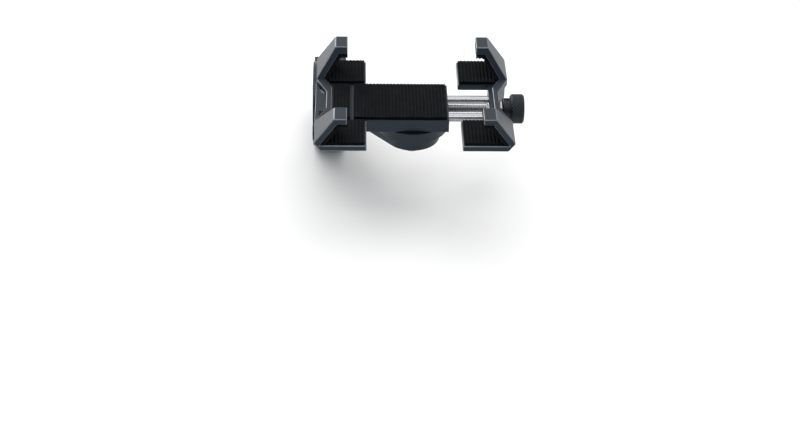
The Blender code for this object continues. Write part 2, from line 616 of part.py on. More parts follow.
def add_knuckle(shell, name, side, left, right, centre_y, parent):
    """A hinge knuckle and the web that joins it to its half of the clamp."""
    hinge_y = centre_y + HINGE_Y
    knuckle = rod(name, "X", left, right, KNUCKLE_DIAMETER / 2, (hinge_y, 0), parent)
    low, high = sorted((side * CLAMP_SPLIT / 2, side * KNUCKLE_DIAMETER / 2))
    web = block(f"{name}_web", (left, hinge_y, low), (right, centre_y - CLAMP_INNER, high), parent)
    combine(shell, "UNION", knuckle, web)


def build_bracket(parent):
    bracket = build_clamp_half("bracket_arm", 1, 0.0, parent)
    boss = ARM_BOSS_DIAMETER / 2
    half_width = CLAMP_WIDTH / 2
    arm = plate("arm", "XY", arm_outline(boss, half_width), HOLDER_Z + ARM_BOTTOM, HOLDER_Z + ARM_TOP, parent)
    combine(bracket, "UNION", arm)
    add_knuckle(bracket, "bracket_knuckle", 1, -KNUCKLE_WIDTH / 2, KNUCKLE_WIDTH / 2, 0.0, parent)
    bar_room = rod("bar_room", "X", -CLAMP_WIDTH, HOLDER_X + ARM_BOSS_DIAMETER, CLAMP_INNER, (0, 0), parent,
                   sides=BORE_ROUND)
    pin_hole = rod("bracket_pin_hole", "X", -half_width - OVERCUT, half_width + OVERCUT,
                   HINGE_PIN_DIAMETER / 2 + GAP, (HINGE_Y, 0), parent)
    bolt_hole = rod("bracket_bolt_hole", "Z", -OVERCUT, CLAMP_SPLIT / 2 + EAR_HEIGHT + OVERCUT,
                    CLAMP_BOLT_DIAMETER / 2 + GAP, (0, BOLT_Y), parent)
    pivot_hole = rod("arm_pivot_hole", "Z", HOLDER_Z + ARM_BOTTOM - OVERCUT, HOLDER_Z + ARM_TOP + OVERCUT,
                     PIVOT_DIAMETER / 2 + GAP, (HOLDER_X, HOLDER_Y), parent)
    combine(bracket, "DIFFERENCE", bar_room, pin_hole, bolt_hole, pivot_hole)
    rod("clamp_hinge_pin", "X", GAP - half_width, half_width - GAP, HINGE_PIN_DIAMETER / 2, (HINGE_Y, 0),
        parent, BRIGHT_STEEL)
    disc = ring("swivel_friction_washer", PIVOT_DIAMETER / 2 + GAP, FRICTION_DISC_DIAMETER / 2,
                HOLDER_Z + DISC_BOTTOM, HOLDER_Z + DISC_TOP, parent, NYLON, steps=KNOB_ROUND)
    disc.location = (HOLDER_X, HOLDER_Y, 0)
    build_bar_liner("upper_bar_liner", 1, 0.0, parent)


def arm_outline(boss, half_width):
    """The arm in plan: its root across the clamp, and the round boss at the pivot, joined by tangents."""
    centre = Vector((HOLDER_X, HOLDER_Y))
    front = Vector((half_width, -ARM_ROOT_FRONT))
    rear = Vector((-half_width, -ARM_ROOT_REAR))
    right = tangent_angle(front, centre, boss, 1)
    left = tangent_angle(rear, centre, boss, -1)
    round_end = arc(centre, boss, right, left - 2 * pi if left > right else left, ROD_ROUND)
    return [(-half_width, -ARM_ROOT_FRONT), (half_width, -ARM_ROOT_FRONT), *round_end,
            (-half_width, -ARM_ROOT_REAR)]


def tangent_angle(point, centre, radius, turn):
    """The angle round a circle at which a line from a point touches it."""
    away = point - centre
    return away.angle_signed(Vector((1, 0))) - turn * acos(radius / away.length)


def build_bar_liner(name, side, centre_y, parent):
    """A rubber shim round half of the handlebar."""
    start = side * CLAMP_SPLIT / 2 / (BAR_DIAMETER / 2)
    end = side * pi - start
    outline = arc((centre_y, 0), LINER_OUTER, start, end, SHELL_ROUND)
    outline += reversed(arc((centre_y, 0), BAR_DIAMETER / 2, start, end, SHELL_ROUND))
    plate(name, "YZ", outline, GAP - CLAMP_WIDTH / 2, CLAMP_WIDTH / 2 - GAP, parent, RUBBER)


def build_cap(parent):
    """The lower half of the clamp, round its own hinge axis."""
    centre_y = -HINGE_Y
    cap = build_clamp_half("clamp_cap", -1, centre_y, parent)
    half_width = CLAMP_WIDTH / 2
    inner = KNUCKLE_WIDTH / 2 + GAP
    add_knuckle(cap, "cap_knuckle_left", -1, -half_width, -inner, centre_y, parent)
    add_knuckle(cap, "cap_knuckle_right", -1, inner, half_width, centre_y, parent)
    bar_room = rod("cap_bar_room", "X", -CLAMP_WIDTH, CLAMP_WIDTH, CLAMP_INNER, (centre_y, 0), parent,
                   sides=BORE_ROUND)
    pin_hole = rod("cap_pin_hole", "X", -CLAMP_WIDTH, CLAMP_WIDTH, HINGE_PIN_DIAMETER / 2 + GAP,
                   (0, 0), parent)
    bolt_hole = rod("cap_bolt_hole", "Z", -CLAMP_SPLIT / 2 - EAR_HEIGHT - OVERCUT, OVERCUT,
                    CLAMP_BOLT_DIAMETER / 2 + CAP_BOLT_GAP, (0, centre_y + BOLT_Y), parent)
    combine(cap, "DIFFERENCE", bar_room, pin_hole, bolt_hole)
    build_bar_liner("lower_bar_liner", -1, centre_y, parent)


def build_clamp_bolt(parent):
    ear_top = CLAMP_SPLIT / 2 + EAR_HEIGHT
    washer_top = ear_top + GAP + CLAMP_WASHER_THICKNESS
    radius = CLAMP_BOLT_DIAMETER / 2
    head = CLAMP_BOLT_HEAD / 2
    seat = washer_top + GAP
    top = seat + CLAMP_BOLT_HEAD_HEIGHT
    tip = -CLAMP_SPLIT / 2 - CLAMP_BOLT_REACH
    turned("clamp_bolt", [(0, top), (head, top), (head, seat), (radius, seat), (radius, tip), (0, tip)],
           parent, BLACK_STEEL)
    ring("clamp_bolt_washer", radius + GAP, CLAMP_WASHER_DIAMETER / 2, ear_top + GAP, washer_top, parent,
         BRIGHT_STEEL)


BRACKET = new_empty("bracket", (0, 0, 0))
CAP = new_empty("cap_hinge_axis", (0, HINGE_Y, 0), BRACKET)
BOLT = new_empty("clamp_bolt_axis", (0, BOLT_Y, 0), BRACKET)
HOLDER = new_empty("swivel_axis", (HOLDER_X, HOLDER_Y, HOLDER_Z), BRACKET)
SLIDE = new_empty("right_jaw_slide", (0, 0, 0), HOLDER)
SCREW = new_empty("lead_screw_axis", (0, 0, SCREW_Z), SLIDE)

build_bracket(BRACKET)
build_cap(CAP)
build_clamp_bolt(BOLT)
base_beam = build_beam(HOLDER)
build_swivel(base_beam, HOLDER)
build_left_jaw(HOLDER)
build_liners("left", -1, HOLDER)
build_right_jaw(SLIDE)
build_liners("right", 1, SLIDE)
build_knob(SCREW)
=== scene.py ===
"""The looks of a bicycle phone mount: its machined, moulded and turned pieces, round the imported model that
holds their places. Lengths are in metres, in the model's own frame: the handlebar's axis lies along X at the
origin."""

from math import cos, pi, radians, sin

import bmesh
import bpy
from mathutils import Matrix, Vector


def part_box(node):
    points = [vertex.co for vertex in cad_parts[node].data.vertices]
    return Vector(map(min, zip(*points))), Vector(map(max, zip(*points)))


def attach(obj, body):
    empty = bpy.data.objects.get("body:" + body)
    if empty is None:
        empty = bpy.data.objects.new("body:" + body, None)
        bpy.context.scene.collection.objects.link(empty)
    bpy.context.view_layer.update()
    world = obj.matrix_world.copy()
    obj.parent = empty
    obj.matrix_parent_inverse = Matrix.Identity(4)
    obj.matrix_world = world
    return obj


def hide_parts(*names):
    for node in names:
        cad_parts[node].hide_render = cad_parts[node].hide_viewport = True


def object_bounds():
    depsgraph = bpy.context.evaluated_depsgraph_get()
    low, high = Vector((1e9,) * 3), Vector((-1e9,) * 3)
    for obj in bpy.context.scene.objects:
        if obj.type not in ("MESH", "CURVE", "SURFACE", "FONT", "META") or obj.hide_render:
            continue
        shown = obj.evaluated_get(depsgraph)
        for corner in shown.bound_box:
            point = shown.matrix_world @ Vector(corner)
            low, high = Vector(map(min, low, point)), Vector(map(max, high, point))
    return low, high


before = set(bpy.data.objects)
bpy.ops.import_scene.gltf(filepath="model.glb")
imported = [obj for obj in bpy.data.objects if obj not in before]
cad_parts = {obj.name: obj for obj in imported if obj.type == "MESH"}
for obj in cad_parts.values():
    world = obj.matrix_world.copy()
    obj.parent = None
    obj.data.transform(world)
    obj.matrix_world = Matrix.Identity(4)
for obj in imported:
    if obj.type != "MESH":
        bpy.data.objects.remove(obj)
cad_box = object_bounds()

# --- The bracket arm and the clamp cap ------------------------------------------------------------
# The handlebar clamp is two milled aluminium halves on a hinge, and the upper half grows into the arm
# that carries the holder. Their edges are broken with a small chamfer, and they are bead-blasted and
# anodised black. The chamfers are painted a lighter grey: partly worn edges, partly a painted highlight.

MM = 0.001
WELD = 0.001 * MM
EDGE_CHAMFER = 0.30 * MM
FLAT_ANGLE = radians(1.0)
CREASE_ANGLE = radians(24)
ANODISED_BLACK = (0.0040, 0.0058, 0.0090, 1)
# Lighter grey for the chamfer faces: partly anodising worn through, partly a painted highlight along the
# edges.
ANODISED_EDGE_WEAR_AND_HIGHLIGHT = (0.150, 0.165, 0.185, 1)


class Signal:
    """A node's output that takes part in arithmetic: each operation adds one Math node to its tree."""

    def __init__(self, graph, socket):
        self.graph, self.socket = graph, socket

    def math(self, operation, *values):
        return self.graph.out("ShaderNodeMath", {"operation": operation}, dict(enumerate((self, *values))))

    def __add__(self, other):
        return self.math("ADD", other)

    def __sub__(self, other):
        return self.math("SUBTRACT", other)

    def __rsub__(self, other):
        return self * -1.0 + other

    def __mul__(self, other):
        return self.math("MULTIPLY", other)

    def __truediv__(self, other):
        return self.math("DIVIDE", other)

    __radd__ = __add__
    __rmul__ = __mul__


class Graph:
    """A node tree, and the one way that this file adds a node to it."""

    def __init__(self, tree):
        self.tree = tree

    def node(self, kind, settings=None, inputs=None):
        """A node of a kind, with its settings made first and then its sockets, by name or number."""
        node = self.tree.nodes.new(kind)
        for name, value in (settings or {}).items():
            setattr(node, name, value)
        for key, value in (inputs or {}).items():
            if isinstance(value, Signal):
                self.tree.links.new(value.socket, node.inputs[key])
            else:
                node.inputs[key].default_value = value
        return node

    def out(self, kind, settings=None, inputs=None, output=0):
        return Signal(self, self.node(kind, settings, inputs).outputs[output])

    def mix(self, factor, first, second):
        """A colour between two others."""
        return self.out("ShaderNodeMix", {"data_type": "RGBA"}, {0: factor, 6: first, 7: second}, 2)

    def noise(self, scale, detail=3.0, roughness=0.55, stretch=(1, 1, 1)):
        """Noise in the frame's own metres, drawn out along an axis where stretch is small."""
        place = self.out("ShaderNodeTexCoord", output="Object")
        place = self.out("ShaderNodeMapping", None, {"Vector": place, "Scale": stretch})
        return self.out("ShaderNodeTexNoise", None,
                        {"Vector": place, "Scale": scale, "Detail": detail, "Roughness": roughness})

    def mark(self, name):
        """A number that a piece's mesh carries under a name, or nought where it carries none."""
        return self.out("ShaderNodeAttribute", {"attribute_name": name}, output="Fac")

    def bump(self, height, strength, distance):
        return self.out("ShaderNodeBump", None,
                        {"Height": height, "Strength": strength, "Distance": distance})


def new_finish(name, constants, build):
    """A material: a shader's constant sockets, and a function that returns what varies over the surface."""
    material = bpy.data.materials.new(name)
    material.use_nodes = True
    graph = Graph(material.node_tree)
    shader = material.node_tree.nodes["Principled BSDF"]
    for socket, value in constants.items():
        shader.inputs[socket].default_value = value
    for socket, signal in build(graph).items():
        graph.tree.links.new(signal.socket, shader.inputs[socket])
    return material


def anodised(graph):
    grain = graph.noise(5200, 2.0, 0.6)
    cloud = graph.noise(95, 3.0, 0.5)
    # The marked chamfer faces are mixed towards the lighter grey: partly real edge wear, partly a painted
    # highlight standing in for the bright lines the edges catch.
    lightened = graph.mark("edge") * (0.35 + graph.noise(420, 3.0, 0.6) * 0.9)
    colour = graph.mix(lightened, ANODISED_BLACK, ANODISED_EDGE_WEAR_AND_HIGHLIGHT)
    return {"Base Color": colour, "Roughness": 0.25 + cloud * 0.10 + grain * 0.09 - lightened * 0.06,
            "Normal": graph.bump(grain, 0.35, 0.018 * MM)}


BLACK_ALUMINIUM = new_finish("bead_blasted_black_anodising",
                             {"Metallic": 0.0, "IOR": 1.46, "Specular Tint": (0.64, 0.82, 1.0, 1)}, anodised)


def finish_piece(name, mesh, material, body, slot, *nodes, crease=CREASE_ANGLE):
    """Shows a finished mesh in place of CAD nodes, riding on its body."""
    piece = bpy.data.objects.new(name, mesh)
    bpy.context.scene.collection.objects.link(piece)
    mesh.materials.clear()
    mesh.materials.append(material)
    mesh.shade_smooth()
    mesh.set_sharp_from_angle(angle=crease)
    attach(piece, body)
    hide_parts(*nodes)
    return piece


def node_solid(node):
    """A CAD node's shape as an editable solid: its triangles merged, and its flat faces whole."""
    work = bmesh.new()
    work.from_mesh(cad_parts[node].data)
    bmesh.ops.remove_doubles(work, verts=work.verts, dist=WELD)
    bmesh.ops.dissolve_limit(work, angle_limit=FLAT_ANGLE, verts=work.verts, edges=work.edges)
    return work


def break_edges(work, width, clamp=True, spared=lambda edge: False):
    """Chamfers a solid's sharp outer edges, apart from those spared, and marks the new faces for the
    finish. A clamp narrows every chamfer to suit the solid's shortest edge."""
    # The finish paints the faces with this mark lighter: partly as edge wear, partly as a painted highlight.
    mark = work.faces.layers.float.new("edge")
    sharp = [e for e in work.edges if len(e.link_faces) == 2 and not spared(e)
             and e.calc_face_angle_signed(0) > CREASE_ANGLE]
    made = bmesh.ops.bevel(work, geom=sharp, offset=width, offset_type="OFFSET", segments=1,
                           profile=0.5, affect="EDGES", clamp_overlap=clamp)
    for face in made["faces"]:
        face[mark] = 1.0


def finished_mesh(name, work):
    mesh = bpy.data.meshes.new(name)
    work.to_mesh(mesh)
    work.free()
    return mesh


def machined(node, width, material, body, slot):
    """A CAD node with its edges broken."""
    work = node_solid(node)
    break_edges(work, width)
    return finish_piece("machined_" + node, finished_mesh(node, work), material, body, slot, node)


machined("bracket_arm", EDGE_CHAMFER, BLACK_ALUMINIUM, "bracket", "anodised_aluminium")
machined("clamp_cap", EDGE_CHAMFER, BLACK_ALUMINIUM, "cap", "anodised_aluminium")

# --- The rubber shims round the handlebar ---------------------------------------------------------
# A strip of moulded rubber lies in each half of the clamp, so that it grips the bar without marking it.
# The face towards the bar has shallow grooves along the bar.

SHIM_WALL = 1.6 * MM
SHIM_GROOVES = 24
SHIM_GROOVE_DEPTH = 0.35 * MM
STATIONS_PER_GROOVE = 6
GROOVE_FULLNESS = 0.8
RUBBER_CREASE = radians(40)
RUBBER_BLACK = (0.0020, 0.0026, 0.0036, 1)
RUBBER_DUST = (0.014, 0.015, 0.017, 1)


def rubber(graph):
    skin = graph.noise(2600, 4.0, 0.65)
    dust = graph.noise(210, 4.0, 0.6)
    dust = (dust * 2.4 - 1.05).math("MAXIMUM", 0.0)
    return {"Base Color": graph.mix(dust * 0.35, RUBBER_BLACK, RUBBER_DUST), "Roughness": 0.66 + skin * 0.25,
            "Normal": graph.bump(skin, 0.5, 0.03 * MM)}


BLACK_RUBBER = new_finish("moulded_black_rubber", {"Specular IOR Level": 0.07}, rubber)


def geometry_tree(name, inputs, build):
    """Geometry Nodes with named inputs. What build returns is realized and given its material."""
    tree = bpy.data.node_groups.new(name, "GeometryNodeTree")
    for label, kind in {"Geometry": "Geometry", "Material": "Material", **inputs}.items():
        tree.interface.new_socket(label, in_out="INPUT", socket_type="NodeSocket" + kind)
    tree.interface.new_socket("Geometry", in_out="OUTPUT", socket_type="NodeSocketGeometry")
    graph = Graph(tree)
    given = {socket.name: Signal(graph, socket) for socket in graph.node("NodeGroupInput").outputs}
    shape = graph.out("GeometryNodeRealizeInstances", None, {"Geometry": build(graph, given)})
    shape = graph.out("GeometryNodeSetMaterial", None, {"Geometry": shape, "Material": given["Material"]})
    graph.node("NodeGroupOutput", None, {"Geometry": shape})
    return tree


def grown(mesh, tree, **values):
    """The plain mesh that a tree makes of another one, with its named inputs given as words."""
    carrier = bpy.data.objects.new(tree.name, mesh)
    bpy.context.scene.collection.objects.link(carrier)
    modifier = carrier.modifiers.new(tree.name, "NODES")
    modifier.node_group = tree
    for socket in tree.interface.items_tree:
        if socket.in_out == "INPUT" and socket.name.lower() in values:
            modifier[socket.identifier] = values[socket.name.lower()]
    depsgraph = bpy.context.evaluated_depsgraph_get()
    made = bpy.data.meshes.new_from_object(carrier.evaluated_get(depsgraph))
    bpy.data.objects.remove(carrier, do_unlink=True)
    return made


def groove_shape(graph, given):
    """Presses the marked face of a strip in, once for every whole number that it counts along itself."""
    along = graph.out("GeometryNodeInputNamedAttribute", {"data_type": "FLOAT"}, {"Name": "along"})
    inwards = graph.out("GeometryNodeInputNamedAttribute", {"data_type": "FLOAT_VECTOR"},
                        {"Name": "inwards"})
    wave = 0.5 - (along * (2 * pi)).math("COSINE") * 0.5
    push = graph.out("ShaderNodeVectorMath", {"operation": "SCALE"},
                     {0: inwards, "Scale": wave.math("POWER", GROOVE_FULLNESS) * given["Depth"]})
    return graph.out("GeometryNodeSetPosition", None, {"Geometry": given["Geometry"], "Offset": push})


GROOVES = geometry_tree("moulded_grooves", {"Depth": "Float"}, groove_shape)


def grooved_strip(name, back, face, sides, pitch, depth, place):
    """Rubber between two paths, with grooves across its face. sides gives its two edges at a height, and
    place turns a distance out, a distance across and a height into a point of the frame."""
    work = bmesh.new()
    along = work.verts.layers.float.new("along")
    inwards = work.verts.layers.float_vector.new("inwards")
    rings, grooves = [], 0

    def station(behind, front):
        ring = []
        for (out, height), near in ((behind, 0), (behind, 1), (front, 1), (front, 0)):
            ring.append(work.verts.new(place(out, sides(height)[near], height)))
        for vert, base in zip(ring[2:], (ring[1], ring[0])):
            vert[inwards] = (base.co - vert.co).normalized()
        return ring

    for start, end, face_start, face_end in zip(back, back[1:], face, face[1:]):
        run = max(1, round((Vector(face_end) - Vector(face_start)).length / pitch))
        for step in range(0 if not rings else 1, run * STATIONS_PER_GROOVE + 1):
            share = step / run / STATIONS_PER_GROOVE
            ring = station(Vector(start).lerp(Vector(end), share),
                           Vector(face_start).lerp(Vector(face_end), share))
            for vert in ring:
                vert[along] = grooves + step / STATIONS_PER_GROOVE
            rings.append(ring)
        grooves += run
    for first, second in zip(rings, rings[1:]):
        for i in range(4):
            work.faces.new((first[i], first[(i + 1) % 4], second[(i + 1) % 4], second[i]))
    work.faces.new(rings[0])
    work.faces.new(rings[-1])
    bmesh.ops.recalc_face_normals(work, faces=work.faces)
    return grown(finished_mesh(name, work), GROOVES, material=BLACK_RUBBER, depth=depth)


def arc(radius, start, end, steps):
    """Points round the handlebar's axis between two angles."""
    turns = [start + (end - start) * i / steps for i in range(steps + 1)]
    return [(radius * cos(turn), radius * sin(turn)) for turn in turns]


for shim, side, body in (("upper_bar_liner", 1, "bracket"), ("lower_bar_liner", -1, "cap")):
    low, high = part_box(shim)
    radius = max(high.z, -low.z)
    lift = min(abs(low.z), abs(high.z)) / radius
    ends = (low.x, high.x)
    mesh = grooved_strip(shim, arc(radius, side * lift, side * (pi - lift), SHIM_GROOVES),
                         arc(radius - SHIM_WALL, side * lift, side * (pi - lift), SHIM_GROOVES),
                         lambda height: ends, pi * radius, SHIM_GROOVE_DEPTH,
                         lambda out, across, height: (across, out, height))
    finish_piece("grooved_" + shim, mesh, BLACK_RUBBER, body, "rubber", shim, crease=RUBBER_CREASE)

# --- The hinge pin and the clamp bolt -------------------------------------------------------------
# The cap swings on a plain steel pin, and a socket-headed bolt through both ears closes the clamp. The
# pin and the washer are bright steel, and the bolt is black oxide steel with a rolled thread.

PIN_CHAMFER = 0.4 * MM
WASHER_EDGE = 0.15 * MM
TURNED_STEPS = 48
THREAD_ROWS = 8
THREAD_DEPTH_SHARE = 0.55
THREAD_STEEPNESS = 1.3
THREAD_CREST = 0.15
THREAD_START = 0.2 * MM
KNURL_SHARPNESS = 3.0
SKIN_SHARE = 0.97
BOLT_RADIUS = 2.0 * MM
BOLT_PITCH = 0.7 * MM
BOLT_THREAD_START = 0.3 * MM
BOLT_WASHER_BORE = 2.3 * MM
BOLT_HEAD_HEIGHT = 4.0 * MM
BOLT_HEAD_EDGE = 0.45 * MM
BOLT_SOCKET_FLATS = 3.0 * MM
BOLT_SOCKET_DEPTH = 2.2 * MM
BOLT_SOCKET_MOUTH = 0.3 * MM
BOLT_SOCKET_LIP = 0.2 * MM
BOLT_SOCKET_CONE = 0.5 * MM
BOLT_THREAD_SHARE = 0.6
BOLT_STEPS = 144
STEEL_GREY = (0.36, 0.37, 0.385, 1)
STEEL_DARK = (0.20, 0.205, 0.215, 1)
OXIDE_BLACK = (0.0022, 0.0027, 0.0033, 1)
# Lighter colour for the knurl's crests: partly worn steel, partly a painted highlight.
OXIDE_WORN_AND_HIGHLIGHT = (0.030, 0.033, 0.036, 1)


def black_oxide(graph):
    grain = graph.noise(3400, 3.0, 0.6)
    # Where a mesh carries the edge mark, as on the knob's knurl crests, the colour is lightened: partly wear,
    # partly a painted highlight.
    worn_and_highlight = graph.mark("edge") * (0.25 + graph.noise(650, 3.0, 0.6) * 0.75)
    return {"Base Color": graph.mix(worn_and_highlight, OXIDE_BLACK, OXIDE_WORN_AND_HIGHLIGHT),
            "Roughness": 0.42 + grain * 0.16 - worn_and_highlight * 0.2,
            "Normal": graph.bump(grain, 0.25, 0.01 * MM)}


def bright_plate(stretch):
    """Bright steel with turning marks, drawn round the axis where stretch is one."""

    def build(graph):
        rings = graph.noise(6500, 2.0, 0.5, stretch)
        cloud = graph.noise(160, 3.0, 0.6)
        shade = (rings * 0.8 + cloud * 0.5 - 0.35).math("MAXIMUM", 0.0)
        return {"Base Color": graph.mix(shade, STEEL_GREY, STEEL_DARK), "Roughness": 0.20 + rings * 0.14,
                "Normal": graph.bump(rings, 0.12, 0.004 * MM)}

    return build


BLACK_STEEL = new_finish("black_oxide_steel",
                         {"Metallic": 0.0, "IOR": 1.42, "Specular Tint": (0.78, 0.89, 1.0, 1)}, black_oxide)
BRIGHT_STEEL = {"X": new_finish("bright_steel_turned_along_x", {"Metallic": 1.0},
                                bright_plate((1, 0.03, 0.03))),
                "Z": new_finish("bright_steel_turned_along_z", {"Metallic": 1.0},
                                bright_plate((0.03, 0.03, 1)))}


def turned(points, steps=TURNED_STEPS, bored=False):
    """A solid turned round Z. A point is (radius, height), and (half the flats, height, True) in a hexagon."""
    work = bmesh.new()
    rings = []
    for radius, height, *hexagonal in points:
        ring = []
        for i in range(steps if radius else 1):
            turn = 2 * pi * i / steps
            reach = radius / cos((turn + pi / 6) % (pi / 3) - pi / 6) if hexagonal else radius
            ring.append(work.verts.new((reach * cos(turn), reach * sin(turn), height)))
        rings.append(ring)
    if bored:
        rings.append(rings[0])
    for lower, upper in zip(rings, rings[1:]):
        for i in range(steps):
            corners = (lower[i % len(lower)], lower[(i + 1) % steps % len(lower)],
                       upper[(i + 1) % steps % len(upper)], upper[i % len(upper)])
            work.faces.new(dict.fromkeys(corners))
    bmesh.ops.recalc_face_normals(work, faces=work.faces)
    return finished_mesh("turned", work)


def rows(radius, start, end, step):
    """Points up a plain cylinder, close enough together for a thread or a knurl to be cut in it."""
    count = max(1, round((end - start) / step))
    return [(radius, start + (end - start) * i / count) for i in range(count + 1)]


def node_place(node, axis):
    """Takes a piece turned round Z from nought upwards to where a node lies, along the node's own axis."""
    low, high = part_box(node)
    middle = (low + high) / 2
    if axis == "X":
        return Matrix.Translation((low.x, middle.y, middle.z)) @ Matrix.Rotation(pi / 2, 4, "Y")
    return Matrix.Translation((middle.x, middle.y, low.z))


def node_length(node, axis):
    low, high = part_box(node)
    return high.x - low.x if axis == "X" else high.z - low.z


def node_radius(node):
    """Half of a node's width across its axis, measured along Y."""
    low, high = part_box(node)
    return (high.y - low.y) / 2


def turned_piece(node, axis, mesh, material, body, slot, crease=CREASE_ANGLE):
    mesh.transform(node_place(node, axis))
    return finish_piece("turned_" + node, mesh, material, body, slot, node, crease=crease)


def washer(node, axis, bore, material, body, slot):
    """A flat ring with its four edges just rounded."""
    radius, top = node_radius(node), node_length(node, axis)
    points = [(bore, WASHER_EDGE), (bore + WASHER_EDGE, 0), (radius - WASHER_EDGE, 0), (radius, WASHER_EDGE),
              (radius, top - WASHER_EDGE), (radius - WASHER_EDGE, top), (bore + WASHER_EDGE, top),
              (bore, top - WASHER_EDGE)]
    return turned_piece(node, axis, turned(points, bored=True), material, body, slot)


def plain_pin(node, axis, chamfer, material, body, slot):
    radius, top = node_radius(node), node_length(node, axis)
    points = [(0, 0), (radius - chamfer, 0), (radius, chamfer), (radius, top - chamfer),
              (radius - chamfer, top), (0, top)]
    return turned_piece(node, axis, turned(points), material, body, slot)


def pressed_in(graph, given, depth, crest=None):
    """Moves the points of one radius towards the axis, within a band of heights that fades in and out."""
    place = graph.out("GeometryNodeInputPosition")
    flat = graph.out("ShaderNodeVectorMath", {"operation": "MULTIPLY"}, {0: place, 1: (1, 1, 0)})
    reach = graph.out("ShaderNodeVectorMath", {"operation": "LENGTH"}, {0: flat}, "Value")
    height = graph.out("ShaderNodeSeparateXYZ", None, {0: place}, "Z")
    rise = ((height - given["Start"]) / given["Fade"]).math("MINIMUM", 1.0).math("MAXIMUM", 0.0)
    fall = ((given["End"] - height) / given["Fade"]).math("MINIMUM", 1.0).math("MAXIMUM", 0.0)
    skin = reach.math("GREATER_THAN", given["Radius"] * SKIN_SHARE)
    amount = depth * given["Depth"] * rise * fall * skin
    outwards = graph.out("ShaderNodeVectorMath", {"operation": "NORMALIZE"}, {0: flat})
    push = graph.out("ShaderNodeVectorMath", {"operation": "SCALE"}, {0: outwards, "Scale": amount * -1.0})
    shape = graph.out("GeometryNodeSetPosition", None, {"Geometry": given["Geometry"], "Offset": push})
    if crest is None:
        return shape
    # The crest value is stored as the edge mark, which the finish paints lighter: partly as wear, partly as a
    # painted highlight.
    return graph.out("GeometryNodeStoreNamedAttribute", {"data_type": "FLOAT", "domain": "POINT"},
                     {"Geometry": shape, "Name": "edge", "Value": crest * rise * fall * skin})


def turns_and_pitches(graph, given):
    """How many turns round the axis a point is, and how many pitches up it."""
    place = graph.out("GeometryNodeInputPosition")
    parts = graph.node("ShaderNodeSeparateXYZ", None, {0: place})
    x, y, height = (Signal(graph, parts.outputs[axis]) for axis in "XYZ")
    return y.math("ARCTAN2", x) / (2 * pi), height / given["Pitch"]


def thread_shape(graph, given):
    turn, pitches = turns_and_pitches(graph, given)
    wave = (pitches - turn).math("PINGPONG", 0.5) * 2.0
    depth = (wave * THREAD_STEEPNESS - THREAD_CREST).math("MINIMUM", 1.0).math("MAXIMUM", 0.0)
    return pressed_in(graph, given, depth)


def knurl_shape(graph, given):
    """Two sets of grooves that cross, with a small pyramid between them."""
    turn, pitches = turns_and_pitches(graph, given)
    around = turn * given["Count"]
    one, other = ((line.math("PINGPONG", 0.5) * 2.0) for line in (around + pitches, around - pitches))
    peak = one.math("MINIMUM", other)
    return pressed_in(graph, given, 1.0 - peak, peak.math("POWER", KNURL_SHARPNESS))


BAND = {label: "Float" for label in ("Radius", "Pitch", "Depth", "Start", "End", "Fade")}
THREAD = geometry_tree("rolled_thread", BAND, thread_shape)
KNURL = geometry_tree("crossed_knurl", {**BAND, "Count": "Int"}, knurl_shape)

plain_pin("clamp_hinge_pin", "X", PIN_CHAMFER, BRIGHT_STEEL["X"], "bracket", "bright_steel")
washer("clamp_bolt_washer", "Z", BOLT_WASHER_BORE, BRIGHT_STEEL["Z"], "bolt", "bright_steel")

top = node_length("clamp_bolt", "Z")
head = node_radius("clamp_bolt")
seat = top - BOLT_HEAD_HEIGHT
thread_end = seat * BOLT_THREAD_SHARE
socket = BOLT_SOCKET_FLATS / 2
mesh = turned([(0, 0), (BOLT_RADIUS - BOLT_PITCH, 0),
               *rows(BOLT_RADIUS, BOLT_PITCH, thread_end, BOLT_PITCH / THREAD_ROWS), (BOLT_RADIUS, seat),
               (head - WASHER_EDGE, seat), (head, seat + WASHER_EDGE), (head, top - BOLT_HEAD_EDGE),
               (head - BOLT_HEAD_EDGE, top), (socket + BOLT_SOCKET_MOUTH, top),
               (socket, top - BOLT_SOCKET_LIP, True), (socket, top - BOLT_SOCKET_DEPTH, True),
               (0, top - BOLT_SOCKET_DEPTH - BOLT_SOCKET_CONE)], BOLT_STEPS)
mesh = grown(mesh, THREAD, material=BLACK_STEEL, radius=BOLT_RADIUS, pitch=BOLT_PITCH,
             start=BOLT_THREAD_START, end=thread_end, depth=BOLT_PITCH * THREAD_DEPTH_SHARE, fade=BOLT_PITCH)
turned_piece("clamp_bolt", "Z", mesh, BLACK_STEEL, "bolt", "black_steel")

# --- The swivel -----------------------------------------------------------------------------------
# A round aluminium plate sits under the beam, with the swivel bolt's hexagonal head sunk in it. The bolt
# goes down through a nylon friction washer and the bracket arm to a steel washer and a nut, which set how
# stiffly it turns.

NYLON_BLACK = (0.020, 0.020, 0.021, 1)
NYLON_RUBBED = (0.045, 0.045, 0.047, 1)
PIVOT_RADIUS = 2.5 * MM
PIVOT_BORE = 2.8 * MM
PIVOT_HEAD_HEIGHT = 2.5 * MM
PIVOT_PITCH = 0.8 * MM
HEX_CHAMFER = 0.45 * MM
HEX_ROUND = 0.96
SCREW_SOCKET_FLATS = 2.0 * MM
SCREW_SOCKET_DEPTH = 1.2 * MM
SCREW_SOCKET_WALL = 1.0 * MM
SCREW_SOCKET_LIP = 0.15 * MM
SCREW_SOCKET_MOUTH = 0.25 * MM
SCREW_HEAD_DEPTH = 1.6 * MM
SCREW_SHANK = 1.5 * MM
SCREW_TIP = 0.4 * MM
SCREW_STEPS = 36


def nylon(graph):
    lightened = graph.noise(900, 4.0, 0.6, (1, 1, 0.1))
    return {"Base Color": graph.mix(lightened, NYLON_BLACK, NYLON_RUBBED), "Roughness": 0.48 + lightened * 0.2,
            "Normal": graph.bump(lightened, 0.2, 0.01 * MM)}


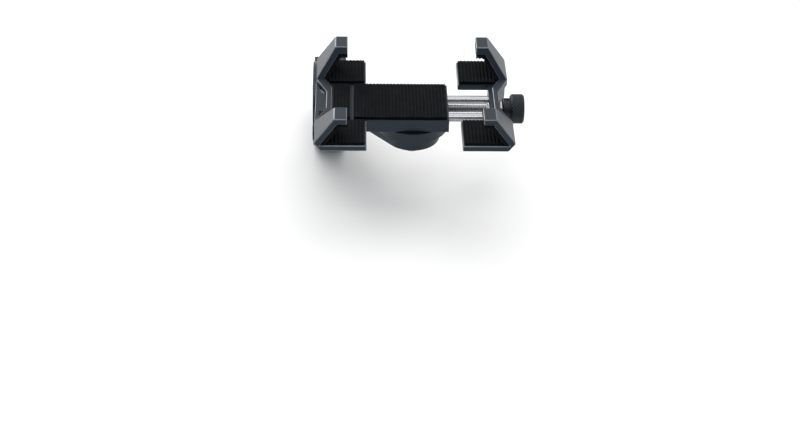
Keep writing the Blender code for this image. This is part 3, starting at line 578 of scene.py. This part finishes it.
BLACK_NYLON = new_finish("black_nylon", {"IOR": 1.53}, nylon)


def screw_row(graph, given):
    """One screw at each point."""
    screw = graph.out("GeometryNodeObjectInfo", {"transform_space": "ORIGINAL"}, {"Object": given["Screw"]},
                      "Geometry")
    spots = graph.out("GeometryNodeMeshToPoints", None, {"Mesh": given["Geometry"]})
    return graph.out("GeometryNodeInstanceOnPoints", None, {"Points": spots, "Instance": screw})


SCREWS = geometry_tree("countersunk_screws", {"Screw": "Object"}, screw_row)


def countersunk_screws(name, nodes, body):
    """Like screws driven up from below, their heads flush and each with a hexagonal socket."""
    head, length = node_radius(nodes[0]), node_length(nodes[0], "Z")
    socket = SCREW_SOCKET_FLATS / 2
    mesh = turned([(0, SCREW_SOCKET_DEPTH), (socket, SCREW_SOCKET_WALL, True),
                   (socket, SCREW_SOCKET_LIP, True), (socket + SCREW_SOCKET_MOUTH, 0),
                   (head - WASHER_EDGE, 0), (head, WASHER_EDGE), (SCREW_SHANK, SCREW_HEAD_DEPTH),
                   (SCREW_SHANK, length - SCREW_TIP), (SCREW_SHANK - SCREW_TIP, length), (0, length)],
                  SCREW_STEPS)
    pattern = bpy.data.objects.new(name + "_pattern", mesh)
    bpy.context.scene.collection.objects.link(pattern)
    spots = bpy.data.meshes.new(name)
    spots.from_pydata([node_place(node, "Z").translation for node in nodes], [], [])
    made = grown(spots, SCREWS, material=BLACK_STEEL, screw=pattern)
    bpy.data.objects.remove(pattern, do_unlink=True)
    finish_piece(name, made, BLACK_STEEL, body, "black_steel", *nodes)


machined("swivel_plate", EDGE_CHAMFER, BLACK_ALUMINIUM, "holder", "anodised_aluminium")
washer("swivel_friction_washer", "Z", PIVOT_BORE, BLACK_NYLON, "bracket", "nylon")
washer("pivot_washer", "Z", PIVOT_BORE, BRIGHT_STEEL["Z"], "holder", "bright_steel")
countersunk_screws("swivel_plate_screws", [f"swivel_plate_screw_{y}_{x}" for y in ("front", "rear")
                                           for x in ("left", "right")], "holder")

top = node_length("pivot_bolt", "Z")
seat = top - PIVOT_HEAD_HEIGHT
low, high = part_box("pivot_nut")
flats = (high.x - low.x) / 2
thread_end = seat / 2
mesh = turned([(0, 0), (PIVOT_RADIUS - PIVOT_PITCH / 2, 0),
               *rows(PIVOT_RADIUS, PIVOT_PITCH / 2, thread_end, PIVOT_PITCH / THREAD_ROWS),
               (PIVOT_RADIUS, seat), (flats * HEX_ROUND, seat), (flats, seat + HEX_CHAMFER, True),
               (flats, top - HEX_CHAMFER, True), (flats * HEX_ROUND, top), (0, top)])
mesh = grown(mesh, THREAD, material=BLACK_STEEL, radius=PIVOT_RADIUS, pitch=PIVOT_PITCH, start=THREAD_START,
             end=thread_end, depth=PIVOT_PITCH * THREAD_DEPTH_SHARE, fade=PIVOT_PITCH)
turned_piece("pivot_bolt", "Z", mesh, BLACK_STEEL, "holder", "black_steel")

top = node_length("pivot_nut", "Z")
mesh = turned([(PIVOT_BORE, HEX_CHAMFER), (PIVOT_BORE + HEX_CHAMFER, 0), (flats * HEX_ROUND, 0),
               (flats, HEX_CHAMFER, True), (flats, top - HEX_CHAMFER, True), (flats * HEX_ROUND, top),
               (PIVOT_BORE + HEX_CHAMFER, top), (PIVOT_BORE, top - HEX_CHAMFER)], bored=True)
turned_piece("pivot_nut", "Z", mesh, BRIGHT_STEEL["Z"], "holder", "bright_steel")

# --- The beam and its brass nut -------------------------------------------------------------------
# A flat aluminium bar carries both jaws. It is bored for the lead screw and the two guide rods, and a
# square brass nut dropped in from above takes the screw's thread.

BRASS_YELLOW = (0.56, 0.39, 0.15, 1)
BRASS_DULL = (0.30, 0.20, 0.08, 1)
NUT_CHAMFER = 0.2 * MM


def brass(graph):
    cuts = graph.noise(5200, 2.0, 0.5, (0.05, 1, 1))
    stain = graph.noise(300, 4.0, 0.6)
    return {"Base Color": graph.mix(stain, BRASS_YELLOW, BRASS_DULL), "Roughness": 0.26 + cuts * 0.16,
            "Normal": graph.bump(cuts, 0.3, 0.01 * MM)}


machined("base_beam", EDGE_CHAMFER, BLACK_ALUMINIUM, "holder", "anodised_aluminium")
machined("lead_nut", NUT_CHAMFER, new_finish("milled_brass", {"Metallic": 1.0}, brass), "holder", "brass")

# --- The two jaws ---------------------------------------------------------------------------------
# Each jaw is cut from a thick-walled aluminium extrusion, then milled to leave two hooked arms and a
# narrow waist between them. The left one is screwed to the beam from below, and the right one slides on
# the rods.

JAW_CHAMFER = 0.35 * MM
JAW_CREASE = radians(3)
WAIST_HALF = 17.5 * MM
WAIST_DROP = 13.4 * MM


def below_waist(node):
    """Tells the edges of a jaw's lower middle, where the walls are too thin for a chamfer."""
    low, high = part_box(node)
    middle, level = (low.y + high.y) / 2, high.z - WAIST_DROP

    def spared(edge):
        return all(abs(v.co.y - middle) < WAIST_HALF and v.co.z < level for v in edge.verts)

    return spared


for jaw, body in (("left_jaw", "holder"), ("right_jaw", "sliding_jaw")):
    solid = node_solid(jaw)
    break_edges(solid, JAW_CHAMFER, clamp=False, spared=below_waist(jaw))
    finish_piece("machined_" + jaw, finished_mesh(jaw, solid), BLACK_ALUMINIUM, body, "anodised_aluminium",
                 jaw, crease=JAW_CREASE)
countersunk_screws("left_jaw_screws", ["left_jaw_screw_front", "left_jaw_screw_rear"], "holder")

# --- The guide rods -------------------------------------------------------------------------------
# Two ground steel rods are pressed into the right jaw and slide in the beam, so that the jaw stays
# square.

ROD_CHAMFER = 0.4 * MM

for end in ("front", "rear"):
    plain_pin(f"guide_rod_{end}", "X", ROD_CHAMFER, BRIGHT_STEEL["X"], "sliding_jaw", "bright_steel")

# --- The rubber linings of the hooks and arms -----------------------------------------------------
# A moulded strip is glued inside each hook and down the inside of its arm, where it holds the phone's
# edge. Its face is ribbed across, and it narrows with the arm towards the hook.

HOOK_LINING = 1.3 * MM
ARM_LINING = 1.6 * MM
ARM_LEAN = 0.713
ARM_LEVEL = 1.228
LINING_PITCH = 1.25 * MM
LINING_GROOVE = 0.55 * MM
ARM_GAP_TOP = 26.2 * MM
HOOK_OVER_SCREEN = 4.6 * MM

holder_low, holder_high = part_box("swivel_plate")
HOLDER = (holder_low + holder_high) / 2
SIDES = {"left": -1, "right": 1, "front": 1, "rear": -1}
BODY_OF = {"left": "holder", "right": "sliding_jaw"}


def outward(side, end):
    """Turns distances from the holder's middle, out to one side and across to one end, into the frame."""
    return lambda out, across, height: (HOLDER.x + SIDES[side] * out, HOLDER.y + SIDES[end] * across, height)


def from_middle(node, side, end):
    """A node's nearest and farthest distances out and across from the holder's middle, and its heights."""
    low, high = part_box(node)
    out = sorted((SIDES[side] * (low.x - HOLDER.x), SIDES[side] * (high.x - HOLDER.x)))
    across = sorted((SIDES[end] * (low.y - HOLDER.y), SIDES[end] * (high.y - HOLDER.y)))
    return out, across, (low.z, high.z)


for side in ("left", "right"):
    for end in ("front", "rear"):
        node = f"{side}_{end}_arm_liner"
        (tip, foot), (near, far), (bottom, hook) = from_middle(node, side, end)
        screen = hook - HOOK_LINING
        gap_top = screen + HOOK_OVER_SCREEN
        gap_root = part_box(f"{side}_{end}_seat_pad")[1].z

        def arm_sides(height):
            share = (height - gap_root) / (gap_top - gap_root)
            return near + (ARM_GAP_TOP - near) * max(0.0, share), far

        back = [(tip, hook), (foot - ARM_LEAN * (hook - bottom), hook), (foot, bottom)]
        inside = foot - ARM_LINING * ARM_LEVEL
        face = [(tip, screen), (inside - ARM_LEAN * (screen - bottom), screen), (inside, bottom)]
        mesh = grooved_strip(node, back, face, arm_sides, LINING_PITCH, LINING_GROOVE, outward(side, end))
        finish_piece("ribbed_" + node, mesh, BLACK_RUBBER, BODY_OF[side], "rubber", node,
                     crease=RUBBER_CREASE)

# --- The pads under the phone's back --------------------------------------------------------------
# Flat rubber pads are glued on the beam and on the four corners of the jaws' flanges, level with each
# other, and their tops are ribbed like the linings.

PAD_PITCH = 1.6 * MM
PAD_GROOVE = 0.40 * MM

for node, side, end in (("beam_seat_pad", "right", "front"), ("left_middle_seat_pad", "left", "front"),
                        ("left_front_seat_pad", "left", "front"), ("left_rear_seat_pad", "left", "rear"),
                        ("right_front_seat_pad", "right", "front"),
                        ("right_rear_seat_pad", "right", "rear")):
    (near_end, far_end), across, (bottom, top) = from_middle(node, side, end)
    mesh = grooved_strip(node, [(near_end, bottom), (far_end, bottom)], [(near_end, top), (far_end, top)],
                         lambda height: across, PAD_PITCH, PAD_GROOVE, outward(side, end))
    body = "holder" if node == "beam_seat_pad" else BODY_OF[side]
    finish_piece("ribbed_" + node, mesh, BLACK_RUBBER, body, "rubber", node, crease=RUBBER_CREASE)

# --- The lead screw, its washer and its clip ------------------------------------------------------
# A steel screw draws the right jaw along. It turns in the jaw's end plate between a bright thrust washer
# outside and a spring clip inside, and its thread runs in the brass nut.

LEAD_PITCH = 0.7 * MM
LEAD_THREAD_END = 43.5 * MM
LEAD_STEPS = 30
LEAD_BORE = 2.3 * MM

radius = node_radius("lead_screw")
top = node_length("lead_screw", "X")
mesh = turned([(0, 0), (radius - LEAD_PITCH / 2, 0),
               *rows(radius, LEAD_PITCH / 2, LEAD_THREAD_END, LEAD_PITCH / THREAD_ROWS),
               (radius, top - ROD_CHAMFER), (radius - ROD_CHAMFER, top), (0, top)], LEAD_STEPS)
mesh = grown(mesh, THREAD, material=BRIGHT_STEEL["X"], radius=radius, pitch=LEAD_PITCH, start=THREAD_START,
             end=LEAD_THREAD_END, depth=LEAD_PITCH * THREAD_DEPTH_SHARE, fade=LEAD_PITCH)
turned_piece("lead_screw", "X", mesh, BRIGHT_STEEL["X"], "knob", "bright_steel")
washer("thrust_washer", "X", LEAD_BORE, BRIGHT_STEEL["X"], "knob", "bright_steel")
washer("retaining_clip", "X", LEAD_BORE, BRIGHT_STEEL["X"], "knob", "bright_steel")

# --- The knurled knob -----------------------------------------------------------------------------
# The knob that closes the mount is turned from steel with a crossed knurl, blacked, and locked on the
# lead screw by a grub screw through its hub.

# The knurl's crests are painted lighter, partly as worn steel and partly as a painted highlight.
KNURL_COUNT = 26
KNURL_PITCH = 1.5 * MM
KNURL_DEPTH = 0.36 * MM
KNURL_ROWS = 6
KNOB_CHAMFER = 0.8 * MM
HUB_RADIUS = 5.0 * MM
HUB_LENGTH = 3.6 * MM
HUB_EDGE = 0.35 * MM
DISH_RIM = 1.1 * MM
DISH_DEPTH = 0.45 * MM
GRUB_HOLE = 1.15 * MM
GRUB_SOCKET = 0.45 * MM
GRUB_EDGE = 0.15 * MM

radius = node_radius("thumb_knob")
top = node_length("thumb_knob", "X")
crown = radius - KNOB_CHAMFER
knurl_start, knurl_end = HUB_LENGTH + KNOB_CHAMFER, top - KNOB_CHAMFER
mesh = turned([(LEAD_BORE, HUB_EDGE), (LEAD_BORE + HUB_EDGE, 0), (HUB_RADIUS - HUB_EDGE, 0),
               (HUB_RADIUS, HUB_EDGE), (HUB_RADIUS, HUB_LENGTH), (crown, HUB_LENGTH),
               *rows(radius, knurl_start, knurl_end, KNURL_PITCH / KNURL_ROWS), (crown, top),
               (crown - DISH_RIM, top), (crown - DISH_RIM - DISH_DEPTH, top - DISH_DEPTH),
               (LEAD_BORE + HUB_EDGE, top - DISH_DEPTH), (LEAD_BORE, top - DISH_DEPTH - HUB_EDGE)],
              KNURL_COUNT * KNURL_ROWS, bored=True)
mesh = grown(mesh, KNURL, material=BLACK_STEEL, radius=radius, pitch=KNURL_PITCH, count=KNURL_COUNT,
             depth=KNURL_DEPTH, start=knurl_start - KNURL_PITCH / KNURL_ROWS,
             end=knurl_end + KNURL_PITCH / KNURL_ROWS, fade=KNURL_PITCH / KNURL_ROWS)
mesh.transform(node_place("thumb_knob", "X"))


def drilled(mesh, node, radius):
    """A mesh with a round hole from the middle of a node upwards."""
    low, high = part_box(node)
    work = bmesh.new()
    middle = Matrix.Translation(((low.x + high.x) / 2, (low.y + high.y) / 2, low.z + HUB_RADIUS / 2))
    bmesh.ops.create_cone(work, cap_ends=True, segments=SCREW_STEPS, radius1=radius, radius2=radius,
                          depth=HUB_RADIUS, matrix=middle)
    drill = bpy.data.objects.new("drill", finished_mesh("drill", work))
    carrier = bpy.data.objects.new("carrier", mesh)
    for item in (drill, carrier):
        bpy.context.scene.collection.objects.link(item)
    boolean = carrier.modifiers.new("drilled", "BOOLEAN")
    boolean.operation = "DIFFERENCE"
    boolean.object = drill
    depsgraph = bpy.context.evaluated_depsgraph_get()
    made = bpy.data.meshes.new_from_object(carrier.evaluated_get(depsgraph))
    for item in (drill, carrier):
        bpy.data.objects.remove(item, do_unlink=True)
    return made


finish_piece("knurled_knob", drilled(mesh, "knob_grub_screw", GRUB_HOLE), BLACK_STEEL, "knob", "black_steel",
             "thumb_knob")

radius = node_radius("knob_grub_screw")
top = node_length("knob_grub_screw", "Z")
mesh = turned([(0, 0), (radius - GRUB_EDGE, 0), (radius, GRUB_EDGE), (radius, top - GRUB_EDGE),
               (radius - GRUB_EDGE, top), (GRUB_SOCKET, top, True), (GRUB_SOCKET, top / 2, True),
               (0, top / 2)], SCREW_STEPS)
turned_piece("knob_grub_screw", "Z", mesh, BLACK_STEEL, "knob", "black_steel")

# --- The table, the lights and the camera ---------------------------------------------------------
# A wide white sheet under the mount, an even white surround that is darker behind the rider, three soft
# lights overhead, ahead on the left and behind the rider, and the camera at the rider's eye.

FLOOR_WIDTH = 6.0
FLOOR_WHITE = (0.90, 0.90, 0.90, 1)
SURROUND_WHITE = (1.0, 1.0, 1.0, 1)
SURROUND_DIM = (0.32, 0.33, 0.35, 1)
DIM_FROM = 0.15
DIM_FADE = 0.6
LENS = 74.76
SENSOR = 36.0
EYE_PITCH = radians(36.66)
EYE_YAW = radians(1.94)
EYE_ROLL = radians(1.35)
PHONE_FORWARD = 5.0 * MM
EYE_FROM_SCREEN = Vector((-0.0268, -0.6556, 0.4116))
NEAREST_SEEN = 0.01
LIGHTS = {"overhead": ((0.0, 0.35, 1.3), 1.4, 7), "window": ((-0.9, 1.2, 0.45), 0.8, 9),
          "behind": ((0.0, -0.85, 1.28), 0.5, 3.5)}


def floor_paint(graph):
    return {"Roughness": 0.6 + graph.noise(14, 2.0, 0.5) * 0.1}


work = bmesh.new()
bmesh.ops.create_grid(work, x_segments=1, y_segments=1, size=FLOOR_WIDTH / 2,
                      matrix=Matrix.Translation((0, 0, cad_box[0][2])))
floor = bpy.data.objects.new("floor", finished_mesh("floor", work))
bpy.context.scene.collection.objects.link(floor)
floor.data.materials.append(new_finish("pale_floor", {"Base Color": FLOOR_WHITE}, floor_paint))

world = bpy.data.worlds.new("studio")
bpy.context.scene.world = world
world.use_nodes = True
sky = Graph(world.node_tree)
background = world.node_tree.nodes["Background"]
behind = sky.out("ShaderNodeTexCoord", output="Generated")
behind = sky.out("ShaderNodeSeparateXYZ", None, {0: behind}, "Y")
behind = ((behind * -1.0 - DIM_FROM) / DIM_FADE).math("MINIMUM", 1.0).math("MAXIMUM", 0.0)
sky.tree.links.new(sky.mix(behind, SURROUND_WHITE, SURROUND_DIM).socket, background.inputs["Color"])
background.inputs["Strength"].default_value = 1.0


def soft_light(name, place, size, power, target):
    lamp = bpy.data.lights.new(name, "AREA")
    lamp.shape = "SQUARE"
    lamp.size = size
    lamp.energy = power
    light = bpy.data.objects.new(name, lamp)
    bpy.context.scene.collection.objects.link(light)
    light.location = place
    light.rotation_euler = (Vector(target) - Vector(place)).to_track_quat("-Z", "Y").to_euler()


for name, (place, size, power) in LIGHTS.items():
    soft_light(name, place, size, power, HOLDER)

camera_data = bpy.data.cameras.new("camera")
camera_data.lens = LENS
camera_data.sensor_width = SENSOR
camera_data.clip_start = NEAREST_SEEN
camera = bpy.data.objects.new("camera", camera_data)
bpy.context.scene.collection.objects.link(camera)
screen_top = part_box("left_front_arm_liner")[1].z - HOOK_LINING
screen_middle = Vector((HOLDER.x, HOLDER.y + PHONE_FORWARD, screen_top))
look = Matrix.Rotation(-EYE_YAW, 4, "Z") @ Matrix.Rotation(pi / 2 - EYE_PITCH, 4, "X")
look = look @ Matrix.Rotation(EYE_ROLL, 4, "Z")
camera.matrix_world = Matrix.Translation(screen_middle + EYE_FROM_SCREEN) @ look
bpy.context.scene.camera = camera
bpy.context.scene.view_settings.view_transform = "Standard"
